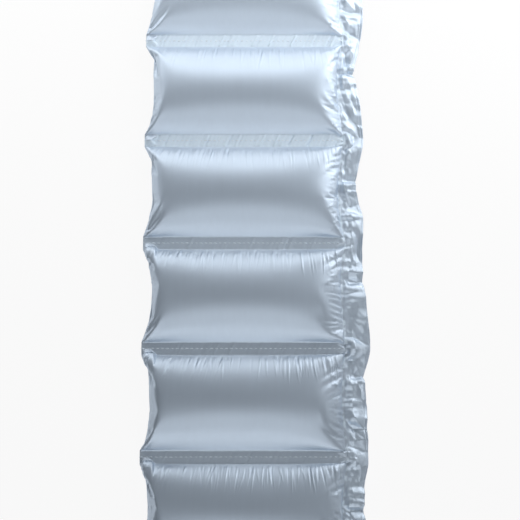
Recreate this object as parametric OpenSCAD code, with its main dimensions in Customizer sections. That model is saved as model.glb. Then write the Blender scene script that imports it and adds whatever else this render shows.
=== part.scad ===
// A chain of air pillows: one folded film web, sealed across into cells,
// blown up and closed by a long seal, with the film's open edge left as a flap.
// It lies flat: +X runs from the folded edge to the flap, +Y along the chain,
// +Z up, with the origin at the middle of its underside.

/* [Chain] */
// Number of pillows in the chain
pillow_count = 6; // [2:1:6]
// Distance between two perforation lines of the blown-up chain
pillow_pitch = 93.5; // [76:0.5:120]
// Width of the air-filled part, from the folded edge to the long seal
air_w = 178; // [140:1:260]
// Height of a pillow where it is thickest
crown_h = 30.5; // [24:0.5:44]

/* [Seals and film] */
// Width of the flat band across the chain between two pillows
cross_seal_w = 11.4; // [6:0.2:20]
// Width of the long seal that closes the pillows beside the flap
long_seal_w = 2; // [1.6:0.2:8]
// Thickness of the flattened web where the two films lie together
web_t = 0.8; // [0.6:0.1:1.6]

/* [Pillow ends] */
// Length over which the middle of the folded end rises to its full height
fold_end_len = 20; // [8:0.5:40]
// Length over which the middle of the sealed end rises to its full height
seal_end_len = 20; // [8:0.5:40]
// How far the middle of each end draws in between two cross seals
side_pull = 7.6; // [0:0.2:16]
// How much further the fold is tucked in at the middle of a pillow
tuck_depth = 1.6; // [0:0.2:4]
// Length of that tuck along the folded edge
tuck_len = 24; // [16:1:40]
// How deep the underside is pressed flat where it rests
rest_sink = 1; // [0.8:0.1:2]

/* [Flap] */
// Width of the open flap beyond the long seal
flap_w = 20; // [10:1:40]
// Height of the creases at the flap's free edge
flap_crease_h = 4; // [0:0.5:8]
// Spacing of the flap's long creases
long_crease = 37; // [24:1:80]
// Spacing of the short creases between them
short_crease = 21; // [18:1:40]
// How far the flap's free edge hangs below the long seal
flap_droop = 3; // [0:0.5:6]
// How far the free edge draws in between two cross seals
flap_pull = 4; // [0:0.5:10]

/* [Gathers] */
// Number of gathers along each cross seal
gather_count = 12; // [6:1:12]
// Depth of a gather where the film leaves the cross seal
gather_depth = 1.2; // [0:0.1:2]
// Length of a gather down the pillow's shoulder
gather_len = 26; // [10:1:34]

/* [Hidden] */

chain_w = air_w + long_seal_w + flap_w;
chain_l = pillow_count * pillow_pitch;
half_seal_w = cross_seal_w / 2;

// Each pillow's section along the chain is an arc between two seal edges
half_chord = pillow_pitch / 2 - half_seal_w;
half_h = (crown_h + rest_sink - web_t) / 2;
mid_z = (crown_h - rest_sink) / 2;
arc_r = (half_chord * half_chord + half_h * half_h) / (2 * half_h);
arc_angle = 2 * atan(half_h / half_chord);
arc_steps = 10;

// A gather reaches its depth a little way off the seal
gather_start = 5;
// The flap's creases lean across it, and the short ones are the shallower
crease_lean = 150;
short_share = 0.4;

// The lines across the web are close together on the ends of the pillows,
// and there are two to a gather between the ends
end_steps = 5;
gather_steps = 2 * gather_count;
flap_steps = 4;
function end_line(i) = 1 - cos(90 * i / end_steps);
across = concat(
    [for (i = [0 : end_steps - 1]) fold_end_len * end_line(i)],
    [for (i = [0 : gather_steps])
        mix(fold_end_len, air_w - seal_end_len, i / gather_steps)],
    [for (i = [end_steps - 1 : -1 : 0]) air_w - seal_end_len * end_line(i)],
    [for (i = [0 : flap_steps]) air_w + long_seal_w + flap_w * i / flap_steps]
);
// The lines along one cell, from a perforation line to the one before the next
along_cell = concat(
    [0],
    [for (i = [0 : arc_steps])
        pillow_pitch / 2 + arc_r * sin(arc_angle * (2 * i / arc_steps - 1))]
);
along = concat(
    [for (cell = [0 : pillow_count - 1]) for (y = along_cell) cell * pillow_pitch + y],
    [chain_l]
);
cols = len(across);
rows = len(along);

function mix(a, b, t) = a + (b - a) * t;
function clamp01(t) = max(0, min(1, t));
function smooth(t) = let (c = clamp01(t)) c * c * (3 - 2 * c);

// Place along a cell, counted from the middle of its pillow
function from_middle(y) =
    y - pillow_pitch * floor(y / pillow_pitch) - pillow_pitch / 2;

// Height of the arc over the chord between two cross seals, as a share of 1
function fullness(y) =
    let (d = from_middle(y))
    abs(d) >= half_chord ? 0
    : max(0, sqrt(arc_r * arc_r - d * d) - (arc_r - half_h)) / half_h;

// Share of the height that an end has risen to, as a quarter of an ellipse
function rise(d, len) =
    len <= 0 ? 0 : let (t = 1 - clamp01(d / len)) sqrt(max(0, 1 - t * t));

// Height of one film above the web's middle plane: the ends are shorter
// where the pillow is thinner, so they meet the cross seals in a point
function film_h(x, y) =
    let (full = fullness(y))
    half_h * full * rise(x, fold_end_len * full) * rise(air_w - x, seal_end_len * full);

// Gathers: every second line between the ends dips beside a seal's -Y side
function gather(x, y) =
    let (line = (x - fold_end_len) / (air_w - seal_end_len - fold_end_len) * gather_steps,
         off_seal = half_chord - from_middle(y),
         dips = line > 0.5 && line < gather_steps - 0.5 && round(line) % 2 == 1)
    !dips || off_seal <= 0 ? 0
    : -gather_depth * smooth(off_seal / gather_start) * (1 - smooth(off_seal / gather_len));

// Creases of the flap: two leaning waves of unlike lengths that grow to its edge
function crease(t, y) =
    t * mix(sin(360 * y / long_crease + crease_lean * t),
            sin(360 * y / short_crease - crease_lean * t), short_share);

// How far the film is drawn in along X, from the fold across to the free edge
function drawn_in(x, y) =
    let (t = clamp01((x - air_w - long_seal_w) / flap_w),
         tuck = tuck_depth * clamp01(1 - 2 * abs(from_middle(y)) / tuck_len)
                * clamp01(1 - x / fold_end_len))
    x <= air_w ? side_pull * (1 - 2 * x / air_w) * fullness(y) + tuck
    : mix(-side_pull, -flap_pull, t) * fullness(y);

function web_z(x, y) =
    let (t = clamp01((x - air_w - long_seal_w) / flap_w))
    mid_z - flap_droop * t * t + flap_crease_h * crease(t, y);
function film_point(x, y, z) = [x + drawn_in(x, y) - chain_w / 2, y - chain_l / 2, z];
function top_point(x, y) =
    film_point(x, y, web_z(x, y) + web_t / 2 + max(0, film_h(x, y) + gather(x, y)));
function under_point(x, y) =
    film_point(x, y, max(0, web_z(x, y) - web_t / 2 - film_h(x, y)));

// Point numbers: the top film row by row, then the underside
function top_at(r, c) = r * cols + c;
function under_at(r, c) = rows * cols + r * cols + c;

// Two triangles between four points, given anticlockwise as seen from outside
function patch(a, b, c, d) = [[a, c, b], [a, d, c]];

module air_pillow_chain() {
    points = concat(
        [for (y = along) for (x = across) top_point(x, y)],
        [for (y = along) for (x = across) under_point(x, y)]
    );
    films = [for (r = [0 : rows - 2]) for (c = [0 : cols - 2]) each concat(
        patch(top_at(r, c), top_at(r, c + 1), top_at(r + 1, c + 1), top_at(r + 1, c)),
        patch(under_at(r, c), under_at(r + 1, c), under_at(r + 1, c + 1), under_at(r, c + 1))
    )];
    long_edges = [for (r = [0 : rows - 2]) each concat(
        patch(under_at(r, 0), top_at(r, 0), top_at(r + 1, 0), under_at(r + 1, 0)),
        patch(top_at(r, cols - 1), under_at(r, cols - 1),
              under_at(r + 1, cols - 1), top_at(r + 1, cols - 1))
    )];
    short_edges = [for (c = [0 : cols - 2]) each concat(
        patch(top_at(0, c), under_at(0, c), under_at(0, c + 1), top_at(0, c + 1)),
        patch(under_at(rows - 1, c), top_at(rows - 1, c),
              top_at(rows - 1, c + 1), under_at(rows - 1, c + 1))
    )];
    color("lightsteelblue")
        polyhedron(points, concat(films, long_edges, short_edges), convexity = 8);
}

air_pillow_chain();
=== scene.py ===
import math

import bpy
import numpy as np
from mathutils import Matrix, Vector


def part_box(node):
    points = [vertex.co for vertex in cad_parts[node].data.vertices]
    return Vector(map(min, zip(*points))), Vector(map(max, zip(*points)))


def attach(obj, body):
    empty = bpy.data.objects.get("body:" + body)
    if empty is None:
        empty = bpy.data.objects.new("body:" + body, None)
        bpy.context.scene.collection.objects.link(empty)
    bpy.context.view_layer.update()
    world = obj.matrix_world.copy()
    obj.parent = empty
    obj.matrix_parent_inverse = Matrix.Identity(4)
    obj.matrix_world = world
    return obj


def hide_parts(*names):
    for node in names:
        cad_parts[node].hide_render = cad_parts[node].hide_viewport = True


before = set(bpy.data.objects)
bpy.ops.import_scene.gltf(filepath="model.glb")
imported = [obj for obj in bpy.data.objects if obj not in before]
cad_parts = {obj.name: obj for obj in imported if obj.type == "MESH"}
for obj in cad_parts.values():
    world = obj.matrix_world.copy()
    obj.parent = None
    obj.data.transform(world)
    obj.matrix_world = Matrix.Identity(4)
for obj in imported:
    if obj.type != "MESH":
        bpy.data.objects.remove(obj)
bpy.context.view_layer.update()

bl_info = {
    "name": "Air Pillow Chain",
    "version": (1, 0, 0),
    "blender": (4, 5, 0),
    "location": "View3D > Sidebar > Air Pillows",
    "description": "Blows up a chain of film air pillows, punches its tear lines and lights it",
    "category": "Object",
}

NODE = "air_pillow_chain"
BODY = "root"
chain_low, chain_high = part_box(NODE)
CHAIN_W = chain_high[0] - chain_low[0]
CHAIN_L = chain_high[1] - chain_low[1]
CHAIN_H = chain_high[2] - chain_low[2]

# The film is solved on a coarse web first and then on a finer one
SOLVE_LEVELS = (
    {"step": 0.0025, "rounds": 120, "push": 4e-6, "passes": 4, "resist": 0.7, "jitter": 1.5e-4},
    {"step": 0.00125, "rounds": 80, "push": 1e-6, "passes": 5, "resist": 0.9, "jitter": 6e-5},
)
# Shares of a film edge's error that one pass takes out, and of the speed kept
STRETCH_SHARE = 1.0
SHEAR_SHARE = 0.7
SPEED_KEPT = 0.9
BODY_BENDING = 0.01
FLAP_BENDING = 0.15
# How far the solver may move the film from the form it starts with, on a pillow and on the flap, and
# the distance from the long seal over which the one becomes the other
BODY_CAP = 0.003
FLAP_CAP = 0.0045
CAP_REACH = 0.006
# Distance from the long seal at which the cross seals are let go
SEAL_LET_GO = 0.008
# The heat of the long seal shortens the film in it, over this reach
SEAL_SHRINK = 0.05
SEAL_REACH = 0.002
# Share of a pillow's draw-in that the flap's free edge doesn't follow
FLAP_FREEDOM = 0.45
# Spacing of the finished mesh across the web and along it
MESH_STEP = (0.0006, 0.0011)

# A pillow's end at the fold and at the long seal: its slope where it starts, and how much of its film
# stays straight there before it bends over
FOLD_END = (math.radians(50), 0.5)
SEAL_END = (math.radians(75), 0.0)
# Least length of an end beside a cross seal, as a share
END_LEAST = 0.3
# How far each pillow's crest leans towards the +Y end, -Y end first
CREST_LEANS = (-0.15, -0.12, -0.05, 0.05, 0.15, 0.15)
# Each pillow's drawn-in edge, -Y end first: place of the tuck from the pillow's middle, then the
# distance from the +Y seal and the share drawn in there, and the same from the -Y seal
FOLD_RUNS = (
    (0.004, 0.0145, 0.55, 0.012, 0.55),
    (-0.008, 0.014, 0.64, 0.008, 0.45),
    (0.008, 0.0125, 0.51, 0.023, 0.75),
    (-0.0125, 0.017, 0.77, 0.023, 0.67),
    (-0.0115, 0.0135, 0.83, 0.008, 0.4),
    (-0.003, 0.012, 0.6, 0.03, 0.8),
)
SEAL_RUNS = ((0.002, 0.0135, 0.8, 0.022, 0.7),)
# How far the free edge stands out in millimetres, at even steps from the -Y end
FLAP_SWAY = (
    -5, -5, -5, -5.5, -3.5, -3.5, -1, -4.5, 3, -1, -1.5, -4, -7, -1, -8, -7, -4.5, -5.5, -5, -9, -7, -2, -2,
    -3, -2,
)
# Facets of the crumpled flap: length along it, width across it and height
FLAP_WAVES = (0.016, 0.011, 0.0035)
FLAP_FACETS = (0.0125, 0.009, 0.0022)
SEAL_FACETS = (0.004, 0.003, 0.0005)
# What the creases' sizes are drawn from: distance of the start from the seal or the fold, length,
# width, share of the greatest height, and how many degrees they stray
GATHER = dict(start=(0.001, 0.004), length=(0.012, 0.03), width=(0.0007, 0.0012), height=(0.2, 1), stray=4)
CRINKLE = dict(
    start=(0.0005, 0.009), length=(0.005, 0.013), width=(0.0006, 0.0013), height=(0.3, 1), stray=14)
TUCK_CRINKLE = dict(
    start=(0.003, 0.008), length=(0.004, 0.01), width=(0.0008, 0.0016), height=(0.2, 0.7), stray=35)
# Where gathers bunch up along a cross seal, as shares of the air's width
GATHER_BUNCHES = (0.08, 0.19, 0.3, 0.42, 0.55, 0.7, 0.82, 0.93)
# Beside the fold each cross seal is open on its -Y side, or at these tear lines lifted as a tent
TENT_LINES = (4, 5)
# How strongly each cross seal is ribbed, from the -Y end of the chain, and the ribs' width
# The same shares pale the cross seals' tint, which paints the brighter light on the seals towards the +Y
# end
RIB_AND_PAINTED_LIGHT_SHARES = (0.2, 0.15, 0.15, 0.3, 1.0, 1.0, 1.0)
RIB_SPREAD = 0.0007
# Distance from a cross seal at which the film is held in most
SHOULDER_REACH = 0.003
# How pale and dull the crumpled flap is, as a share of a strongly ribbed cross seal; its paleness is
# painted light that lifts the shade on its dark facets
FLAP_DULLNESS_AND_PAINTED_LIGHT = 0.2
# Place of the extra row beside each flat end, as a share of a step
BRACE_SHARE = 0.03

# Scales of the film's frosting, the share of its range that is used, and the tones that it gives
FROST_SCALES = {"Streaks": 260.0, "Mottling": 55.0, "Grain": 1500.0}
FROST_RANGE = (0.3, 0.7)
FILM_TONES = (0.98, 1.02)
CUT_TONES = (0.8, 1.1)
CUT_MOTTLING = 320.0
# The flap has its full gloss from here on, as a share of its width
GLOSS_RANGE = (0.0, 0.3)
BUMP = {"Strength": 0.1, "Distance": 0.0001}
# How much the cuts' sizes vary, and how white the table is to the camera
CUT_VARY = {"Min": 0.75, "Max": 1.1}
TABLE_GLOW = 0.9
# How bright a light's face is, where white is 1: the room's windows and what they fill in
BRIGHT = 1.5
FAINT = 0.5
# The lights: name, place, what they face, size and how bright their faces are
LIGHTS = (
    ("beyond_the_end", (0, 0.38, 0.15), (0, 0, 0.05), (1.0, 0.3), BRIGHT),
    ("beyond_upper", (0, 0.45, 0.4), (0, 0, 0.1), (1.2, 0.2), FAINT),
    ("right_window", (0.45, 0.35, 0.2), (0, 0.35, 0.2), (0.5, 0.4), BRIGHT),
    ("right_upper", (0.5, 0.5, 0.7), (0, 0.3, 0), (0.6, 0.4), BRIGHT),
    ("right_middle", (0.7, 0.0, 0.35), (0, 0, 0.1), (0.8, 0.3), FAINT),
    ("left_window", (-0.45, 0.35, 0.2), (0, 0.35, 0.2), (0.5, 0.4), FAINT),
    ("front_low", (0, -5.4, 2.5), (0, 0, 0), (5.0, 1.8), BRIGHT),
    ("front_middle", (0, -4.5, 4.0), (0, 0, 0), (5.0, 1.8), BRIGHT),
    ("front_high", (0, -2.4, 5.4), (0, 0, 0), (5.0, 1.8), BRIGHT),
)


class FilmSizes(bpy.types.PropertyGroup):
    """Sizes of the blown-up film"""

    pillow_count: bpy.props.IntProperty(
        name="Pillows", description="Number of pillows in the chain", default=6, min=2, max=6)
    film_width: bpy.props.FloatProperty(
        name="Film Width", description="From the folded edge to the free edge",
        default=CHAIN_W, unit="LENGTH")
    cell_length: bpy.props.FloatProperty(
        name="Cell Length", description="Distance between tear lines of the flat film",
        default=0.1, unit="LENGTH")
    air_width: bpy.props.FloatProperty(
        name="Air Width", description="From the folded edge to the long seal",
        default=0.178, unit="LENGTH")
    cross_seal: bpy.props.FloatProperty(
        name="Cross Seal", description="Width of the flat band between two pillows",
        default=0.0114, unit="LENGTH")
    long_seal: bpy.props.FloatProperty(
        name="Long Seal", description="Width of the seal beside the flap",
        default=0.002, unit="LENGTH")
    ply_thickness: bpy.props.FloatProperty(
        name="Ply Thickness", description="Thickness shown for one ply of film",
        default=0.00018, unit="LENGTH")
    rest_sink: bpy.props.FloatProperty(
        name="Rest Sink", description="How far the underside is pressed flat",
        default=0.001, unit="LENGTH")
    seed: bpy.props.IntProperty(
        name="Seed", description="Seed of every random wrinkle", default=5)


class WrinkleSizes(bpy.types.PropertyGroup):
    """Sizes of the folds, gathers and crinkles"""

    end_length: bpy.props.FloatProperty(
        name="End Length", description="Length of a pillow's round end",
        default=0.0205, unit="LENGTH")
    fold_pull: bpy.props.FloatProperty(
        name="Fold Pull", description="How far the tuck draws in the folded edge",
        default=0.0094, unit="LENGTH")
    seal_pull: bpy.props.FloatProperty(
        name="Seal Pull", description="How far the long seal is drawn in beside a pillow",
        default=0.0072, unit="LENGTH")
    gathers: bpy.props.IntProperty(
        name="Gathers", description="Gathers along each cross seal", default=110)
    gather_height: bpy.props.FloatProperty(
        name="Gather Height", description="Height of the tallest gather",
        default=0.00055, unit="LENGTH")
    shoulder_depth: bpy.props.FloatProperty(
        name="Shoulder Depth", description="How far the film is held in below a cross seal",
        default=0.00015, unit="LENGTH")
    crinkles: bpy.props.IntProperty(
        name="Crinkles", description="Crinkles beside the long seal of one pillow", default=60)
    crinkle_height: bpy.props.FloatProperty(
        name="Crinkle Height", description="Height of the tallest crinkle",
        default=0.0006, unit="LENGTH")
    flap_droop: bpy.props.FloatProperty(
        name="Flap Droop", description="How far the free edge hangs", default=0.004,
        unit="LENGTH")
    rib_height: bpy.props.FloatProperty(
        name="Rib Height", description="Height of the crimped ribs in a cross seal",
        default=0.00025, unit="LENGTH")
    loose_length: bpy.props.FloatProperty(
        name="Loose Length", description="Length of a cross seal's open patch by the fold",
        default=0.0135, unit="LENGTH")
    loose_height: bpy.props.FloatProperty(
        name="Loose Height", description="Height of that open patch",
        default=0.0034, unit="LENGTH")


class CutSizes(bpy.types.PropertyGroup):
    """Sizes of the perforation cuts"""

    spacing: bpy.props.FloatProperty(
        name="Spacing", description="Distance between two cuts", default=0.0042, unit="LENGTH")
    cut_length: bpy.props.FloatProperty(
        name="Cut Length", description="Length of one cut", default=0.0034, unit="LENGTH")
    cut_width: bpy.props.FloatProperty(
        name="Cut Width", description="Width of a cut's raised lips",
        default=0.0012, unit="LENGTH")
    cut_height: bpy.props.FloatProperty(
        name="Cut Height", description="Height of a cut from lip to lip",
        default=0.001, unit="LENGTH")


class FilmFinish(bpy.types.PropertyGroup):
    """Colours and gloss of the film"""

    film_tint: bpy.props.FloatVectorProperty(
        name="Film", description="Frosted film", subtype="COLOR", size=4,
        default=(0.6, 0.7, 0.82, 1.0))
    seal_tint: bpy.props.FloatVectorProperty(
        name="Seal", description="Film fused in the seals", subtype="COLOR", size=4,
        default=(0.56, 0.65, 0.76, 1.0))
    # Paler film in the ribbed seals, on the flap and along the long seal: partly crimp, partly painted
    # light and glints
    crimp_and_painted_light_tint: bpy.props.FloatVectorProperty(
        name="Crimp", description="Film whitened by ribs and creases", subtype="COLOR", size=4,
        default=(0.75, 0.88, 1.0, 1.0))
    # Paler than the film: torn film, and partly a painted glint on the cut lips
    cut_and_glint_tint: bpy.props.FloatVectorProperty(
        name="Cut", description="Torn film at the perforations", subtype="COLOR", size=4,
        default=(0.8, 0.9, 1.0, 1.0))
    sheen_share: bpy.props.FloatProperty(
        name="Sheen Share", description="How far the film shines as a metal does",
        default=0.5, subtype="FACTOR")
    body_roughness: bpy.props.FloatProperty(
        name="Pillow Roughness", description="Roughness of the stretched film",
        default=0.4, subtype="FACTOR")
    flap_roughness: bpy.props.FloatProperty(
        name="Flap Roughness", description="Roughness of the loose flap",
        default=0.26, subtype="FACTOR")
    crimp_roughness: bpy.props.FloatProperty(
        name="Crimp Roughness", description="Roughness of a strongly ribbed cross seal",
        default=0.58, subtype="FACTOR")


class StageSettings(bpy.types.PropertyGroup):
    """Light, table and camera"""

    floor_tint: bpy.props.FloatVectorProperty(
        name="Table", description="Colour of the table", subtype="COLOR", size=4,
        default=(0.9, 0.9, 0.9, 1.0))
    room_tint: bpy.props.FloatVectorProperty(
        name="Room", description="Even light of the room", subtype="COLOR", size=4,
        default=(0.05, 0.055, 0.06, 1.0))
    light_level: bpy.props.FloatProperty(
        name="Light Level", description="Brightness of all the lights together", default=1.0)
    camera_distance: bpy.props.FloatProperty(
        name="Camera Distance", description="From the camera to what it is aimed at",
        default=1.1, unit="LENGTH")
    camera_elevation: bpy.props.FloatProperty(
        name="Camera Elevation", description="Angle of the camera above the table",
        default=math.radians(80.5), subtype="ANGLE")
    camera_field: bpy.props.FloatProperty(
        name="Camera Field", description="Angle that the camera takes in",
        default=math.radians(23.6), subtype="ANGLE")
    aim: bpy.props.FloatVectorProperty(
        name="Aim", description="The point in the middle of the picture",
        default=(0.0035, -0.015, 0.014), subtype="TRANSLATION")


def soft_noise(rng, shape, steps, sizes):
    """Random hills of about the given sizes in metres, with a spread of 1."""
    noise = np.fft.fft2(rng.normal(size=shape))
    waves = [np.fft.fftfreq(count, step) * size for count, step, size in zip(shape, steps, sizes)]
    damping = 2 * math.pi ** 2 * (waves[0][:, None] ** 2 + waves[1][None] ** 2)
    noise = np.fft.ifft2(noise * np.exp(-damping)).real
    return noise / noise.std()


def flap_noise(web, rng, size):
    """Random hills on the web that are about one size both ways."""
    return soft_noise(rng, web.u.shape, web.step, (size, size))


def ease(t):
    """Rises smoothly from 0 to 1 as t does."""
    t = np.clip(t, 0, 1)
    return t * t * (3 - 2 * t)


def strip(parts, step):
    """Evenly spaced places along parts laid end to end, and the index of each joint."""
    places = [0.0]
    joints = [0]
    for part in parts:
        count = max(1, round(part / step))
        start = places[-1]
        places += [start + part * (i + 1) / count for i in range(count)]
        joints.append(len(places) - 1)
    return np.array(places), joints


class Web:
    """The flat film as a grid of points: u is across it from the fold, v along it."""

    def __init__(self, sizes, step):
        self.count = sizes.pillow_count
        self.cell = sizes.cell_length
        self.air = sizes.air_width
        self.width = sizes.film_width
        self.seal_end = sizes.air_width + sizes.long_seal
        self.pitch = CHAIN_L / self.count
        self.half_band = sizes.cross_seal / 2
        flat = self.cell - sizes.cross_seal
        parts_across = (self.air, sizes.long_seal, self.width - self.seal_end)
        parts_along = (self.half_band, flat, self.half_band) * self.count
        self.across, self.across_joints = strip(parts_across, step[0])
        self.along, self.along_joints = strip(parts_along, step[1])
        self.tear_rows = self.along_joints[::3]
        self.along_kinks = sorted(set(self.along_joints) - set(self.tear_rows[1:-1]))
        self.step = step
        self.u, self.v = np.meshgrid(self.across, self.along, indexing="ij")
        self.index = np.minimum((self.v / self.cell + 1e-6).astype(int), self.count - 1)
        self.from_mid = self.v - (self.index + 0.5) * self.cell
        self.half_flat = flat / 2
        self.half_chord = self.pitch / 2 - self.half_band
        self.half_height = (CHAIN_H + sizes.rest_sink) / 2 - sizes.ply_thickness
        self.into_band = np.abs(self.from_mid) - self.half_flat
        self.in_band = self.into_band > -1e-7
        line = np.round(self.v / self.cell)
        self.line = line.astype(int)
        self.from_line = self.v - line * self.cell
        self.on_line = np.abs(self.from_line) < 1e-6
        self.flap = np.clip((self.u - self.seal_end) / (self.width - self.seal_end), 0, 1)


def blown_form(web, wrinkles):
    """The film as arcs between the seals with round ends: x, y and height over the web's plane."""
    chord, height = web.half_chord, web.half_height
    radius = (chord ** 2 + height ** 2) / (2 * height)
    turn = 2 * math.atan(height / chord)
    angle = np.clip(web.from_mid / web.half_flat, -1, 1) * turn
    flat_part = np.sign(web.from_mid) * (chord + web.into_band)
    y = np.where(web.in_band, flat_part, radius * np.sin(angle)) + (web.index + 0.5) * web.pitch
    full = np.where(web.in_band, 0, radius * np.cos(angle) - (radius - height))
    lean = np.array(CREST_LEANS)[web.index] * web.from_mid / web.half_flat
    full = np.maximum(full * (1 + lean), 0)

    def end(distance, drawn, shape):
        """Place and rise along an end that starts where the outline is drawn in to."""
        slope, straight = shape
        bend = (1 - straight) / slope
        length = wrinkles.end_length * (END_LEAST + (1 - END_LEAST) * full / height)
        share = np.clip(distance / (length + drawn), 0, 1)
        ramp = np.minimum(share, straight)
        left = slope * np.minimum((1 - share) / (1 - straight), 1)
        place = ramp * math.cos(slope) + bend * (math.sin(slope) - np.sin(left))
        rise = ramp * math.sin(slope) + bend * (np.cos(left) - math.cos(slope))
        place /= straight * math.cos(slope) + bend * math.sin(slope)
        rise /= straight * math.sin(slope) + bend * (1 - math.cos(slope))
        return np.where(share < 1, length * place + drawn, distance), rise

    fold_drawn = wrinkles.fold_pull * drawn_share(web, FOLD_RUNS)
    seal_drawn = wrinkles.seal_pull * drawn_share(web, SEAL_RUNS * web.count)
    from_fold, fold_rise = end(web.u, fold_drawn, FOLD_END)
    from_seal, seal_rise = end(np.maximum(web.air - web.u, 0), seal_drawn, SEAL_END)
    x = np.where(web.u < web.air / 2, from_fold, web.air - from_seal)
    stands_out = flap_sway(web) * web.flap
    on_flap = web.u - seal_drawn * (1 - FLAP_FREEDOM * web.flap) + stands_out
    x = np.where(web.u > web.air, on_flap, x)
    z = np.where(web.u < web.air, full * np.minimum(fold_rise, seal_rise), 0)
    return x, y, z


def flap_sway(web):
    """How far the free edge stands out from its even place, in metres."""
    places = np.linspace(0, web.count * web.cell, len(FLAP_SWAY))
    return np.interp(web.v, places, FLAP_SWAY) / 1000


def drawn_share(web, runs):
    """How far an edge is drawn in, from 0 at the cross seals to 1 at the tuck, in straight runs."""
    share = np.zeros(web.u.shape)
    for cell in range(web.count):
        tuck, upper, upper_share, lower, lower_share = runs[cell]
        places = (-web.half_flat, lower - web.half_flat, tuck, web.half_flat - upper, web.half_flat)
        here = np.interp(web.from_mid, places, (0, lower_share, 1, upper_share, 0))
        share = np.where(web.index == cell, here, share)
    return share


def facets(web, rng, size):
    """Crumpled film: flat triangles between points at random heights, on an uneven lattice."""
    long, wide, height = size
    along = web.v / long + 0.35 * flap_noise(web, rng, long)
    shift = 0.25 * flap_noise(web, rng, long) * ease(web.flap * 3)
    across = np.maximum(web.u - web.seal_end, 0) / wide + shift
    along -= along.min()
    across = np.maximum(across, 0)
    i, j = along.astype(int), across.astype(int)
    s, t = along - i, across - j
    heights = rng.uniform(-1, 1, (i.max() + 2, j.max() + 2))
    heights[:, 0] = 0
    a, b, c, d = heights[i, j], heights[i + 1, j], heights[i, j + 1], heights[i + 1, j + 1]
    low = a + s * (b - a) + t * (c - a)
    high = d + (1 - s) * (c - d) + (1 - t) * (b - d)
    return height * np.where(s + t < 1, low, high) * (web.u > web.seal_end)


def pull_pairs(a, b, rest, stretch, squeeze):
    """Moves both ends of every film edge towards its rest length."""
    gap = b - a
    length = np.sqrt((gap * gap).sum(0)) + np.float32(1e-9)
    share = (length - rest) / length
    share *= np.where(share > 0, np.float32(stretch / 2), np.float32(squeeze / 2))
    gap *= share
    a += gap
    b -= gap


def settle_edges(film, rests, resist):
    """One pass over the edges across, along and on the diagonals of both plies."""
    rest_u, rest_v, rest_diagonal = rests
    for first in (0, 1):
        b = film[:, :, first + 1::2]
        a = film[:, :, first:-1:2][:, :, :b.shape[2]]
        pull_pairs(a, b, rest_u[first::2], STRETCH_SHARE, resist)
    for first in (0, 1):
        b = film[..., first + 1::2]
        a = film[..., first:-1:2][..., :b.shape[3]]
        pull_pairs(a, b, rest_v[:, first::2], STRETCH_SHARE, resist)
    for first in (0, 1):
        b = film[:, :, first + 1::2]
        a = film[:, :, first:-1:2][:, :, :b.shape[2]]
        rest = rest_diagonal[first::2]
        pull_pairs(a[..., :-1], b[..., 1:], rest, SHEAR_SHARE, resist * SHEAR_SHARE)
        pull_pairs(a[..., 1:], b[..., :-1], rest, SHEAR_SHARE, resist * SHEAR_SHARE)


def outward(film):
    """Unit normals of both plies, pointing away from the air between them."""
    across = np.gradient(film, axis=2)
    along = np.gradient(film, axis=3)
    normals = np.stack([
        across[1] * along[2] - across[2] * along[1],
        across[2] * along[0] - across[0] * along[2],
        across[0] * along[1] - across[1] * along[0],
    ])
    normals /= np.sqrt((normals * normals).sum(0)) + np.float32(1e-12)
    normals[:, 1] *= -1
    return normals


def ease_bends(film, share):
    """Evens out the sharpest bends a little."""
    half = np.float32(0.5)
    share = np.float32(share)
    film[:, :, 1:-1] += share * (half * (film[:, :, :-2] + film[:, :, 2:]) - film[:, :, 1:-1])
    film[..., 1:-1] += share * (half * (film[..., :-2] + film[..., 2:]) - film[..., 1:-1])


def finer(film, old, new):
    """The film on a finer web, along curves that stay smooth except at the seals' edges."""
    directions = (
        (2, old.across, old.across_joints, new.across),
        (3, old.along, old.along_kinks, new.along),
    )
    for axis, places, joints, wanted in directions:
        last = len(places) - 1
        place = np.interp(wanted, places, np.arange(last + 1))
        low = np.minimum(place.astype(int), last - 1)
        shape = [1] * film.ndim
        shape[axis] = len(wanted)
        t = (place - low).reshape(shape)
        starts = np.isin(low, joints).reshape(shape)
        ends = np.isin(low + 1, joints).reshape(shape)
        p1 = np.take(film, low, axis)
        p2 = np.take(film, low + 1, axis)
        p0 = np.where(starts, 2 * p1 - p2, np.take(film, np.maximum(low - 1, 0), axis))
        p3 = np.where(ends, 2 * p2 - p1, np.take(film, np.minimum(low + 2, last), axis))
        film = 0.5 * (2 * p1 + (p2 - p0) * t + (2 * p0 - 5 * p1 + 4 * p2 - p3) * t ** 2
                      + (3 * p1 - p0 - 3 * p2 + p3) * t ** 3)
    return film.astype(np.float32)


def mid_height(sizes):
    """Height of the flat web's middle plane over the table."""
    return (CHAIN_H - sizes.rest_sink) / 2


def blow_up(sizes, wrinkles):
    """Solves the film under pressure and returns its web and both plies on it."""
    rng = np.random.default_rng(sizes.seed)
    film = None
    for level in SOLVE_LEVELS:
        web = Web(sizes, (level["step"], level["step"]))
        x, y, z = blown_form(web, wrinkles)
        droop = wrinkles.flap_droop * web.flap ** 1.5
        form = np.zeros((3, 2) + x.shape, np.float32)
        form[0] = x
        form[1] = y
        form[2, 0] = z - droop
        form[2, 1] = -z - droop
        if film is None:
            film = form.copy()
            film[2] += facets(web, rng, FLAP_WAVES)
        else:
            film = finer(film, coarse, web)
        film += (level["jitter"] * rng.normal(size=film.shape) * ~web.on_line).astype(np.float32)
        film = solve_level(film, form, web, sizes, level)
        coarse = web
    return web, film


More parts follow.
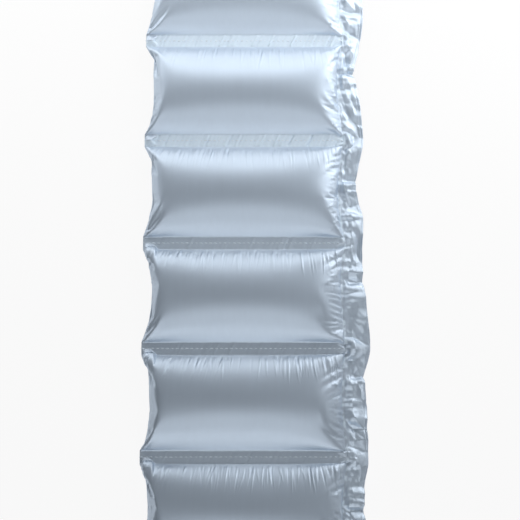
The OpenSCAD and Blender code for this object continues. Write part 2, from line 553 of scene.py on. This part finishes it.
def solve_level(film, form, web, sizes, level):
    """Presses the air in and settles the film's edges on one grid."""
    step_u = np.diff(web.across)
    step_v = np.diff(web.along)
    seal_mid = (web.air + web.seal_end) / 2
    near_seal = np.exp(-((web.u - seal_mid) / SEAL_REACH) ** 2)[:, 1:]
    rest_v = step_v[None] * (1 - SEAL_SHRINK * near_seal)
    wider = flap_sway(web) / (web.width - web.seal_end) * (web.flap > 0)
    rest_u = step_u[:, None] * (1 + wider[1:])
    rest_diagonal = np.hypot(rest_u[:, 1:], step_v[None])
    rests = [rest.astype(np.float32) for rest in (rest_u, rest_v, rest_diagonal)]
    flat_end = web.air - SEAL_LET_GO
    pinned = web.in_band & (web.u < flat_end) | (web.on_line & (web.u <= web.air)) | (web.u == 0)
    tied = web.in_band | (web.u == 0) | (web.u > web.air - 1e-7)
    push = ~tied * np.float32(level["push"])
    on_flap = np.clip((web.u - web.air + CAP_REACH) / (2 * CAP_REACH), 0, 1)
    cap = (BODY_CAP + (FLAP_CAP - BODY_CAP) * on_flap).astype(np.float32)
    floor_z = np.float32(-mid_height(sizes))
    seal_column = web.across_joints[1]
    last = film.copy()
    for _ in range(level["rounds"]):
        speed = (film - last) * np.float32(SPEED_KEPT)
        last = film.copy()
        film = film + speed + outward(film) * push
        for _ in range(level["passes"]):
            settle_edges(film, rests, level["resist"])
            middle = (film[:, 0] + film[:, 1]) * np.float32(0.5)
            film[:, 0] = np.where(tied, middle, film[:, 0])
            film[:, 1] = np.where(tied, middle, film[:, 1])
            for ply in (0, 1):
                film[:, ply][:, pinned] = form[:, ply][:, pinned]
        ease_bends(film[:, :, :seal_column], BODY_BENDING)
        ease_bends(film[:, :, seal_column:], FLAP_BENDING)
        moved = film - form
        far = np.sqrt((moved * moved).sum(0)) + np.float32(1e-9)
        film = form + moved * np.minimum(1, cap / far)
        film[2] = np.maximum(film[2], floor_z)
    return film


def add_crease(relief, web, start, heading, length, width, height, bow=0.0, sharp=False):
    """Adds one narrow crease to a relief; it is widest where it starts."""
    reach = length + 3 * width
    i = slice(*np.searchsorted(web.across, (start[0] - reach, start[0] + reach)))
    j = slice(*np.searchsorted(web.along, (start[1] - reach, start[1] + reach)))
    du = web.u[i, j] - start[0]
    dv = web.v[i, j] - start[1]
    on = du * math.cos(heading) + dv * math.sin(heading)
    off = -du * math.sin(heading) + dv * math.cos(heading) + bow * on * on / length
    share = np.clip(on / length, 0, 1)
    t = off / (width * (1 - 0.6 * share))
    if sharp:
        shape = np.clip(np.minimum(1 + 0.7 * t, 1 - 1.8 * t), 0, 1)
    else:
        shape = (1 - 1.4 * t) * np.exp(-t * t)
    relief[i, j] += height * ease(on / (0.2 * length)) * (1 - share) * shape


def gather_relief(web, wrinkles, rng):
    """Gathers that run from each cross seal down the +Y shoulder of a pillow, fanning out."""
    relief = np.zeros(web.u.shape)
    for cell in range(web.count):
        seal_v = (cell + 0.5) * web.cell + web.half_flat
        for _ in range(wrinkles.gathers):
            place = web.air * (rng.choice(GATHER_BUNCHES) + rng.normal(0, 0.055))
            place = min(max(place, 0.008), web.air - 0.008)
            fan = 28 * (place / web.air - 0.5)
            heading = math.radians(-95 + fan + rng.normal(0, GATHER["stray"]))
            start = (place, seal_v - rng.uniform(*GATHER["start"]))
            add_crease(
                relief, web, start, heading, length=rng.uniform(*GATHER["length"]),
                width=rng.uniform(*GATHER["width"]), bow=rng.uniform(-0.08, 0.08),
                height=wrinkles.gather_height * rng.uniform(*GATHER["height"]) * rng.choice((-1, 1)))
    return relief


def add_crinkle(relief, web, rng, start, degrees, kind, tallest):
    """Adds one sharp crease of a kind, with its sizes drawn at random."""
    add_crease(
        relief, web, start, math.radians(degrees), length=rng.uniform(*kind["length"]),
        width=rng.uniform(*kind["width"]), height=tallest * rng.uniform(*kind["height"]), sharp=True)


def crinkle_relief(web, wrinkles, rng):
    """Short sharp crinkles that fan from the long seal, and a few in the folded end."""
    relief = np.zeros(web.u.shape)
    for cell in range(web.count):
        middle = (cell + 0.5) * web.cell
        for _ in range(wrinkles.crinkles):
            place = rng.uniform(-0.85, 0.8) * web.half_flat
            start = (web.air - rng.uniform(*CRINKLE["start"]), middle + place)
            fan = -35 * place / web.half_flat
            degrees = 180 + fan + rng.normal(0, CRINKLE["stray"])
            add_crinkle(relief, web, rng, start, degrees, CRINKLE, wrinkles.crinkle_height)
        for _ in range(wrinkles.crinkles // 3):
            place = middle + FOLD_RUNS[cell][0] + rng.normal(0, 0.007)
            start = (rng.uniform(*TUCK_CRINKLE["start"]), place)
            degrees = rng.normal(0, TUCK_CRINKLE["stray"])
            add_crinkle(relief, web, rng, start, degrees, TUCK_CRINKLE, wrinkles.crinkle_height)
    return relief


def rib_relief(web, wrinkles, rng):
    """Slanting crimp ribs in the cross seals, fainter towards the -Y end."""
    fine = 0.0004
    spare = 0.01
    count = round((web.width + 2 * spare) / fine)
    run = soft_noise(rng, (count, len(RIB_AND_PAINTED_LIGHT_SHARES)), (fine, 1.0), (RIB_SPREAD, 0.0))
    run *= 0.4 + 0.6 * np.abs(run)
    relief = np.zeros(web.u.shape)
    for number, share in enumerate(RIB_AND_PAINTED_LIGHT_SHARES):
        slanted = web.u - 0.5 * web.from_line
        ribs = np.interp(slanted, np.arange(count) * fine - spare, run[:, number])
        edge = ease(web.into_band / 0.0015) * (web.line == number)
        relief += wrinkles.rib_height * share * ribs * edge
    return relief


def shoulder_relief(web, wrinkles):
    """The gathers hold the film in below each cross seal, so it leaves the seal less steeply."""
    t = (web.half_flat - web.from_mid) / SHOULDER_REACH
    held = np.maximum(t, 0) * np.exp(1 - t) * ease(web.u / 0.015) * ease((web.air - web.u) / 0.015)
    return -wrinkles.shoulder_depth * held


def loose_patches(web, wrinkles):
    """Where air has lifted part of a cross seal beside the fold, as a share, and how high."""
    across_band = -web.from_line / web.half_band
    is_tent = np.isin(web.line, TENT_LINES)
    ramp = np.clip(across_band, 0, 1) * (1 - ease((across_band - 1) / 3.5))
    tent = np.clip(1 - np.abs(across_band), 0, 1)
    reach = wrinkles.loose_length * (0.6 + 0.4 * np.clip(np.abs(across_band), 0, 1))
    inside = ease((reach - web.u) / 0.003)
    open_side = np.where(is_tent, across_band < 0.1, across_band > 0)
    lifted = inside * open_side * (np.abs(across_band) < 1.1)
    rise = np.where(is_tent, tent, ramp) * inside * np.clip(web.u / 0.005, 0, 1)
    return lifted, wrinkles.loose_height * rise


def dress_film(web, film, sizes, wrinkles):
    """Adds what the solver's grid is too coarse for, and both faces of both plies."""
    rng = np.random.default_rng(sizes.seed + 1)
    normals = outward(film)
    on_body = 1 - ease((web.u - web.air + 0.004) / 0.004)
    shoulder = gather_relief(web, wrinkles, rng) * np.where(web.in_band, 0, on_body)
    shoulder += shoulder_relief(web, wrinkles)
    ends = crinkle_relief(web, wrinkles, rng) * (~web.in_band & (web.u < web.air))
    ribs = rib_relief(web, wrinkles, rng) * (web.u < web.air)
    folds = facets(web, rng, FLAP_FACETS) + facets(web, rng, SEAL_FACETS) * (1 - web.flap)
    beads = soft_noise(rng, web.u.shape, web.step, (0.0006, 0.001))
    beads = 0.0002 * beads * np.exp(-((web.u - web.air - 0.0005) / 0.0012) ** 2)
    puff = loose_patches(web, wrinkles)[1]
    ply = sizes.ply_thickness
    uneven = soft_noise(rng, web.u.shape, web.step, (0.006, 0.012))
    gap = (0.0006 + 0.0008 * np.abs(uneven)) * ease(web.flap * 3)
    lift = gap / 2 + ply
    top = film[:, 0] + normals[:, 0] * (shoulder + ends + ribs + puff + beads + folds + lift)
    under = film[:, 1] + normals[:, 1] * (0.4 * shoulder + ends - ribs + puff - folds + lift)
    wider = soft_noise(rng, web.u.shape, web.step, (0.01, 0.02))
    under[0] += (0.0022 + 0.0006 * wider) * web.flap ** 2
    inner_top = top - normals[:, 0] * ply
    inner_under = under - normals[:, 1] * ply
    faces = {"top": top, "under": under, "inner_top": inner_top, "inner_under": inner_under}
    for face in faces.values():
        face[0] += chain_low[0]
        face[1] += chain_low[1]
        face[2] = np.maximum(face[2] + mid_height(sizes), 0)
    return faces


def point_values(web, wrinkles, seed):
    """What the film's material reads at every point: how sealed, how crimped and paled by painted light,
    how far out.
    """
    rng = np.random.default_rng(seed + 2)
    band = ease(web.into_band / 0.0006 + 0.5) * (web.u < web.seal_end)
    long_seal = np.exp(-((web.u - web.air - 0.001) / 0.0012) ** 2)
    # Pale, dull dots along the long seal: painted glints of its crimp, beside the beads that raise it
    painted_glint_dots = ease(soft_noise(rng, web.u.shape, web.step, (0.0008, 0.0012)))
    # Paler, duller film in the ribbed cross seals and on the flap: partly crimp, partly painted light
    crimp_and_painted_light = np.maximum(band * np.array(RIB_AND_PAINTED_LIGHT_SHARES)[web.line], FLAP_DULLNESS_AND_PAINTED_LIGHT * ease(web.flap * 9))
    crimp_and_painted_light *= 1 - loose_patches(web, wrinkles)[0]
    crimp_and_painted_light = np.maximum(crimp_and_painted_light, long_seal * painted_glint_dots)
    return {"sealed": np.maximum(band, long_seal), "crimp_and_painted_light": crimp_and_painted_light, "flap": web.flap}


def around_section(top, inner_top, crotch, inner_under, under):
    """One closed run of points round the film's section, with both plies of the flap."""
    return np.concatenate([top, inner_top[::-1], crotch, inner_under, under[::-1]])


def brace_ends(ring):
    """Adds a row close to each end, so that the flat ends don't bend the shading beside them."""
    near = ring[:, :1] + BRACE_SHARE * (ring[:, 1:2] - ring[:, :1])
    far = ring[:, -1:] + BRACE_SHARE * (ring[:, -2:-1] - ring[:, -1:])
    return np.concatenate([ring[:, :1], near, ring[:, 1:-1], far, ring[:, -1:]], axis=1)


def pillow_object(name, faces, values, web, number):
    """One closed piece between two tear lines, with both plies of its flap."""
    span = slice(web.tear_rows[number], web.tear_rows[number + 1] + 1)
    seal = web.across_joints[2]
    beyond = slice(seal + 1, None)
    top, under, inner_top, inner_under = (
        faces[key][:, :, span].transpose(1, 2, 0)
        for key in ("top", "under", "inner_top", "inner_under"))
    crotch = (inner_top[seal:seal + 1] + inner_under[seal:seal + 1]) / 2
    ring = around_section(top, inner_top[beyond], crotch, inner_under[beyond], under)
    ring = brace_ends(ring)
    around, count = ring.shape[:2]
    across = len(web.across)
    index = np.arange(around * count).reshape(around, count)
    beside = np.roll(index, -1, axis=0)
    skin = np.stack([index[:, :-1], beside[:, :-1], beside[:, 1:], index[:, 1:]], -1)
    skin = skin.reshape(-1, 4).tolist()

    top_at = list(range(across))
    under_at = [around - 1 - i for i in range(across)]
    crotch_at = 2 * across - 1 - seal
    section = [[top_at[i], under_at[i], under_at[i + 1], top_at[i + 1]] for i in range(seal - 1)]
    section.append([top_at[seal - 1], under_at[seal - 1], under_at[seal], crotch_at, top_at[seal]])
    for i in range(seal, across - 1):
        upper = (crotch_at - (i - seal), crotch_at - (i + 1 - seal))
        lower = (crotch_at + (i - seal), crotch_at + (i + 1 - seal))
        section.append([top_at[i], upper[0], upper[1], top_at[i + 1]])
        section.append([lower[0], under_at[i], under_at[i + 1], lower[1]])
    near_end = [[int(index[i, 0]) for i in face] for face in section]
    far_end = [[int(index[i, -1]) for i in reversed(face)] for face in section]

    mesh = bpy.data.meshes.new(name)
    mesh.from_pydata(ring.reshape(-1, 3).tolist(), [], skin + near_end + far_end)
    smooth = np.ones(len(mesh.polygons), bool)
    smooth[len(skin):] = False
    mesh.polygons.foreach_set("use_smooth", smooth)
    for label, value in values.items():
        value = value[:, span]
        inner = value[beyond]
        ring_value = brace_ends(around_section(value, inner, value[seal:seal + 1], inner, value))
        attribute = mesh.attributes.new(label, "FLOAT", "POINT")
        attribute.data.foreach_set("value", ring_value.reshape(-1).astype(np.float32))
    mesh.update()
    piece = bpy.data.objects.new(name, mesh)
    bpy.context.scene.collection.objects.link(piece)
    return piece


def new_material(name):
    """An empty node material and its tree."""
    material = bpy.data.materials.new(name)
    material.use_nodes = True
    material.node_tree.nodes.clear()
    return material, material.node_tree


def add_node(tree, kind, inputs, **settings):
    """Adds a node. Each input is set to a value, or linked where it is given another's output."""
    node = tree.nodes.new(kind)
    for name, value in settings.items():
        setattr(node, name, value)
    for key, value in inputs.items():
        if isinstance(value, bpy.types.NodeSocket):
            tree.links.new(value, node.inputs[key])
        else:
            node.inputs[key].default_value = value
    return node


def show(tree, shader):
    """Makes a shader the material's surface."""
    add_node(tree, "ShaderNodeOutputMaterial", {"Surface": shader.outputs[0]})


def attribute(tree, name):
    """The value that the film's points hold under a name."""
    return add_node(tree, "ShaderNodeAttribute", {}, attribute_name=name).outputs["Fac"]


def mixed(tree, share, first, second):
    """One colour that turns into another by a share."""
    inputs = {"Factor": share, "A": first, "B": second}
    return add_node(tree, "ShaderNodeMix", inputs, data_type="RGBA").outputs["Result"]


def ranged(tree, value, to_range, from_range=(0.0, 1.0)):
    """A value carried from one range to another."""
    labels = ("From Min", "From Max", "To Min", "To Max")
    inputs = dict(zip(labels, from_range + to_range), Value=value)
    return add_node(tree, "ShaderNodeMapRange", inputs).outputs["Result"]


def frost_group():
    """Fine frosting of blown film: streaks along the web, soft mottling and grain."""
    name = "film_frost"
    if name in bpy.data.node_groups:
        return bpy.data.node_groups[name]
    group = bpy.data.node_groups.new(name, "ShaderNodeTree")
    socket = group.interface.new_socket
    socket("Position", in_out="INPUT", socket_type="NodeSocketVector")
    for label, scale in FROST_SCALES.items():
        socket(label, in_out="INPUT", socket_type="NodeSocketFloat").default_value = scale
    for label in ("Tone", "Relief"):
        socket(label, in_out="OUTPUT", socket_type="NodeSocketFloat")
    entry = add_node(group, "NodeGroupInput", {}).outputs
    stretch = {0: entry["Position"], 1: (1.0, 0.04, 1.0)}
    along = add_node(group, "ShaderNodeVectorMath", stretch, operation="MULTIPLY").outputs[0]

    def noise(position, scale, detail):
        inputs = {"Detail": detail, "Vector": position, "Scale": entry[scale]}
        return add_node(group, "ShaderNodeTexNoise", inputs).outputs["Fac"]

    streaks = noise(along, "Streaks", 2.0)
    mottling = noise(entry["Position"], "Mottling", 3.0)
    grain = noise(entry["Position"], "Grain", 1.0)
    tone = add_node(group, "ShaderNodeMix", {"Factor": 0.5, "A": streaks, "B": mottling})
    relief = add_node(group, "ShaderNodeMix", {"Factor": 0.35, "A": streaks, "B": grain})
    results = {"Tone": tone.outputs["Result"], "Relief": relief.outputs["Result"]}
    add_node(group, "NodeGroupOutput", results)
    return group


def frosted(tree, colour, tones, mottling):
    """A colour whose tone varies as the frosting does, and the frosting's relief."""
    place = add_node(tree, "ShaderNodeTexCoord", {}).outputs["Object"]
    inputs = {"Position": place, "Mottling": mottling}
    frost = add_node(tree, "ShaderNodeGroup", inputs, node_tree=frost_group()).outputs
    tone = ranged(tree, frost["Tone"], tones, FROST_RANGE)
    scaled = add_node(tree, "ShaderNodeVectorMath", {0: colour, "Scale": tone}, operation="SCALE")
    return scaled.outputs[0], frost["Relief"]


def film_material(finish):
    """Frosted silvery film: duller where it is fused, glossier in the loose flap, paler with painted light
    where it is crimped.
    """
    material, tree = new_material("frosted_film")
    crimp_and_painted_light = attribute(tree, "crimp_and_painted_light")
    tint = mixed(tree, attribute(tree, "sealed"), finish.film_tint, finish.seal_tint)
    # Paler where crimped: partly painted light on the ribbed seals, the flap and the long seal
    paler = mixed(tree, crimp_and_painted_light, tint, finish.crimp_and_painted_light_tint)
    colour, relief = frosted(tree, paler, FILM_TONES, FROST_SCALES["Mottling"])
    roughness = (finish.body_roughness, finish.flap_roughness)
    gloss = ranged(tree, attribute(tree, "flap"), roughness, GLOSS_RANGE)
    bump = add_node(tree, "ShaderNodeBump", dict(BUMP, Height=relief))
    inputs = {
        "Base Color": colour,
        "Metallic": ranged(tree, crimp_and_painted_light, (finish.sheen_share, 0.0)),
        "Roughness": ranged(tree, crimp_and_painted_light, (gloss, finish.crimp_roughness)),
        "Normal": bump.outputs["Normal"],
    }
    show(tree, add_node(tree, "ShaderNodeBsdfPrincipled", inputs))
    return material


def cut_material(finish):
    """Pale film on the lips of the perforation cuts: torn film, whose paleness is partly a painted glint.
    """
    material, tree = new_material("cut_film_and_glint")
    colour = frosted(tree, finish.cut_and_glint_tint[:3], CUT_TONES, CUT_MOTTLING)[0]
    inputs = {"Base Color": colour, "Roughness": 0.4}
    show(tree, add_node(tree, "ShaderNodeBsdfPrincipled", inputs))
    return material


def cut_rows_tree():
    """Geometry nodes that set small raised cuts along every line of a mesh."""
    tree = bpy.data.node_groups.new("cut_rows", "GeometryNodeTree")
    socket = tree.interface.new_socket
    socket("Geometry", in_out="INPUT", socket_type="NodeSocketGeometry")
    for label in ("Spacing", "Cut Length", "Cut Width", "Cut Height"):
        socket(label, in_out="INPUT", socket_type="NodeSocketFloat")
    socket("Seed", in_out="INPUT", socket_type="NodeSocketInt")
    socket("Material", in_out="INPUT", socket_type="NodeSocketMaterial")
    socket("Geometry", in_out="OUTPUT", socket_type="NodeSocketGeometry")
    entry = add_node(tree, "NodeGroupInput", {}).outputs

    def result(kind, inputs, output=0, **settings):
        return add_node(tree, kind, inputs, **settings).outputs[output]

    curve = result("GeometryNodeMeshToCurve", {"Mesh": entry["Geometry"]})
    inputs = {"Curve": curve, "Length": entry["Spacing"]}
    points = result("GeometryNodeResampleCurve", inputs, mode="LENGTH")
    ball = result("GeometryNodeMeshIcoSphere", {"Radius": 0.5, "Subdivisions": 2}, "Mesh")
    inputs = {"X": entry["Cut Length"], "Y": entry["Cut Width"], "Z": entry["Cut Height"]}
    size = result("ShaderNodeCombineXYZ", inputs)
    lens = result("GeometryNodeTransform", {"Geometry": ball, "Scale": size})
    tangent = result("GeometryNodeInputTangent", {})
    turn = result("FunctionNodeAlignRotationToVector", {"Vector": tangent}, axis="X")
    inputs = dict(CUT_VARY, Seed=entry["Seed"])
    vary = result("FunctionNodeRandomValue", inputs, 1, data_type="FLOAT")
    inputs = {"Points": points, "Instance": lens, "Rotation": turn, "Scale": vary}
    cuts = result("GeometryNodeInstanceOnPoints", inputs, "Instances")
    solid = result("GeometryNodeRealizeInstances", {"Geometry": cuts})
    inputs = {"Geometry": solid, "Material": entry["Material"]}
    add_node(tree, "NodeGroupOutput", {"Geometry": result("GeometryNodeSetMaterial", inputs)})
    return tree


def socket_id(tree, label):
    """Identifier of a tree's input, by its name."""
    for item in tree.interface.items_tree:
        if item.item_type == "SOCKET" and item.in_out == "INPUT" and item.name == label:
            return item.identifier
    raise ValueError(f"{tree.name} has no input {label}")


def declare(piece):
    """Attaches the piece to the body that it rides on and hides the part that it stands for."""
    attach(piece, BODY)
    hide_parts(NODE)


class FILM_OT_blow_up_pillows(bpy.types.Operator):
    """Blow up the sealed film into a chain of pillows with a loose flap"""

    bl_idname = "film.blow_up_pillows"
    bl_label = "Blow Up Pillows"

    def execute(self, context):
        scene = context.scene
        sizes = scene.film_sizes
        wrinkles = scene.film_wrinkles
        coarse, film = blow_up(sizes, wrinkles)
        web = Web(sizes, MESH_STEP)
        faces = dress_film(web, finer(film, coarse, web), sizes, wrinkles)
        values = point_values(web, wrinkles, sizes.seed)
        material = film_material(scene.film_finish)
        for number in range(web.count):
            piece = pillow_object(f"pillow_{number + 1}", faces, values, web, number)
            piece.data.materials.append(material)
            declare(piece)
        keep_tear_lines(faces, web)
        return {"FINISHED"}


def keep_tear_lines(faces, web):
    """Leaves the tear lines as a mesh of edges for the cuts to follow."""
    last = web.across_joints[1]
    points = []
    edges = []
    for row in web.tear_rows[1:-1]:
        middle = (faces["top"] + faces["under"])[:, 2:last - 2, row].T / 2
        first = len(points)
        points += middle.tolist()
        edges += [(i, i + 1) for i in range(first, len(points) - 1)]
    mesh = bpy.data.meshes.new("tear_lines")
    mesh.from_pydata(points, edges, [])


class FILM_OT_punch_cuts(bpy.types.Operator):
    """Punch a row of short cuts along every tear line"""

    bl_idname = "film.punch_cuts"
    bl_label = "Punch Cuts"

    def execute(self, context):
        scene = context.scene
        cuts = scene.film_cuts
        lines = bpy.data.objects.new("tear_lines", bpy.data.meshes["tear_lines"])
        scene.collection.objects.link(lines)
        material = cut_material(scene.film_finish)
        tree = cut_rows_tree()
        modifier = lines.modifiers.new("cuts", "NODES")
        modifier.node_group = tree
        inputs = {
            "Spacing": cuts.spacing,
            "Cut Length": cuts.cut_length,
            "Cut Width": cuts.cut_width,
            "Cut Height": cuts.cut_height,
            "Seed": scene.film_sizes.seed,
            "Material": material,
        }
        for label, value in inputs.items():
            modifier[socket_id(tree, label)] = value
        context.view_layer.update()
        solid = lines.evaluated_get(context.evaluated_depsgraph_get())
        mesh = bpy.data.meshes.new_from_object(solid)
        bpy.data.objects.remove(lines)
        mesh.name = "perforations"
        for polygon in mesh.polygons:
            polygon.use_smooth = True
        piece = bpy.data.objects.new("perforations", mesh)
        scene.collection.objects.link(piece)
        declare(piece)
        return {"FINISHED"}


def table_material(stage):
    """Pale table that stays white to the camera and keeps the shadow."""
    material, tree = new_material("pale_table")
    plain = add_node(tree, "ShaderNodeBsdfDiffuse", {"Color": stage.floor_tint}).outputs[0]
    bright = add_node(tree, "ShaderNodeEmission", {"Strength": 1.0}).outputs[0]
    rays = add_node(tree, "ShaderNodeLightPath", {}).outputs
    seen = rays["Is Camera Ray"]
    for label in ("Is Glossy Ray", "Is Transmission Ray"):
        either = add_node(tree, "ShaderNodeMath", {0: seen, 1: rays[label]}, operation="MAXIMUM")
        seen = either.outputs[0]
    share = add_node(tree, "ShaderNodeMath", {0: seen, 1: TABLE_GLOW}, operation="MULTIPLY")
    inputs = {"Fac": share.outputs[0], 1: plain, 2: bright}
    show(tree, add_node(tree, "ShaderNodeMixShader", inputs))
    return material


def wide_light(name, place, target, size, level):
    """A wide soft light turned towards a point, whose face is as bright as its level."""
    light = bpy.data.lights.new(name, "AREA")
    light.shape = "RECTANGLE"
    light.size, light.size_y = size
    light.energy = math.pi * size[0] * size[1] * level
    lamp = bpy.data.objects.new(name, light)
    lamp.location = place
    lamp.rotation_euler = (Vector(target) - Vector(place)).to_track_quat("-Z", "Y").to_euler()
    bpy.context.scene.collection.objects.link(lamp)
    return lamp


class FILM_OT_lay_stage(bpy.types.Operator):
    """Lay the pale table and place the lights and the camera"""

    bl_idname = "film.lay_stage"
    bl_label = "Lay Stage"

    def execute(self, context):
        scene = context.scene
        stage = scene.film_stage
        half = 3.0
        mesh = bpy.data.meshes.new("table")
        corners = [(-half, -half, 0), (half, -half, 0), (half, half, 0), (-half, half, 0)]
        mesh.from_pydata(corners, [], [(0, 1, 2, 3)])
        mesh.materials.append(table_material(stage))
        table = bpy.data.objects.new("table", mesh)
        scene.collection.objects.link(table)

        world = bpy.data.worlds.new("room")
        world.use_nodes = True
        world.node_tree.nodes["Background"].inputs["Color"].default_value = stage.room_tint
        scene.world = world
        for name, place, target, size, level in LIGHTS:
            wide_light(name, place, target, size, level * stage.light_level)

        aim = Vector(stage.aim)
        angle = stage.camera_elevation
        away = Vector((0, -math.cos(angle), math.sin(angle)))
        data = bpy.data.cameras.new("camera")
        data.angle = stage.camera_field
        camera = bpy.data.objects.new("camera", data)
        camera.location = aim + away * stage.camera_distance
        camera.rotation_euler = (-away).to_track_quat("-Z", "Y").to_euler()
        scene.collection.objects.link(camera)
        scene.camera = camera
        scene.view_settings.view_transform = "Standard"
        return {"FINISHED"}


class FILM_PT_panel(bpy.types.Panel):
    """Lists the sizes, finishes and steps of the air pillow chain"""

    bl_idname = "FILM_PT_panel"
    bl_label = "Air Pillows"
    bl_space_type = "VIEW_3D"
    bl_region_type = "UI"
    bl_category = "Air Pillows"

    def draw(self, context):
        layout = self.layout
        scene = context.scene
        sections = (
            (scene.film_sizes, FILM_OT_blow_up_pillows),
            (scene.film_wrinkles, None),
            (scene.film_cuts, FILM_OT_punch_cuts),
            (scene.film_finish, None),
            (scene.film_stage, FILM_OT_lay_stage),
        )
        for group, operator in sections:
            box = layout.box()
            for name in group.__annotations__:
                box.prop(group, name)
            if operator:
                box.operator(operator.bl_idname)


CLASSES = (
    FilmSizes,
    WrinkleSizes,
    CutSizes,
    FilmFinish,
    StageSettings,
    FILM_OT_blow_up_pillows,
    FILM_OT_punch_cuts,
    FILM_OT_lay_stage,
    FILM_PT_panel,
)
SETTINGS = {
    "film_sizes": FilmSizes,
    "film_wrinkles": WrinkleSizes,
    "film_cuts": CutSizes,
    "film_finish": FilmFinish,
    "film_stage": StageSettings,
}


def register():
    for cls in CLASSES:
        bpy.utils.register_class(cls)
    for name, group in SETTINGS.items():
        setattr(bpy.types.Scene, name, bpy.props.PointerProperty(type=group))


def unregister():
    for name in SETTINGS:
        delattr(bpy.types.Scene, name)
    for cls in reversed(CLASSES):
        bpy.utils.unregister_class(cls)


def main():
    """Registers the add-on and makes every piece."""
    register()
    bpy.ops.film.lay_stage()
    bpy.ops.film.blow_up_pillows()
    bpy.ops.film.punch_cuts()


if __name__ == "__main__":
    main()
